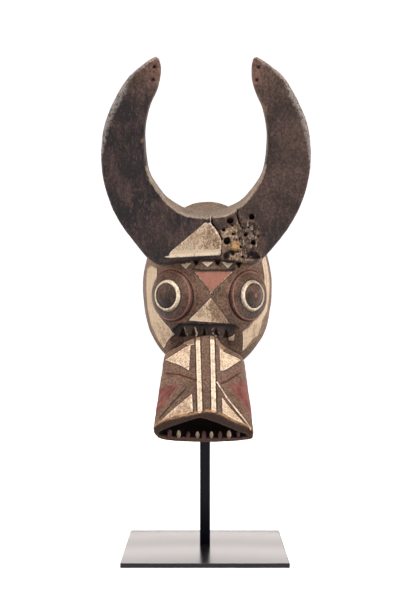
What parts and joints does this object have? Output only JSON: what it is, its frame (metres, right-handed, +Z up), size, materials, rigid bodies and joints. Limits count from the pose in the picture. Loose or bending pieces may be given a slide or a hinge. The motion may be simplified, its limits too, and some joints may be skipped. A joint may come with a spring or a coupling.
{
  "type": "carved buffalo mask on a stand",
  "caption": "Carved wooden buffalo mask with a crescent of horns, ringed eyes and an open toothed snout, on a steel bar and base plate.",
  "frame": {"origin": "middle of the base plate's underside", "axes": "+Z up, the mask faces -Y, +X to the right of someone who looks at the face"},
  "size_m": [0.338, 0.3426, 0.8252],
  "materials": {
    "carved_wood": "old matte paint in black-brown, white and red earth, worn",
    "stand_steel": "satin black"
  },
  "bodies": {
    "root": {"mask": "carved_wood", "lower_jaw": "carved_wood", "upright_bar": "stand_steel", "base_plate": "stand_steel"}
  },
  "joints": []
}
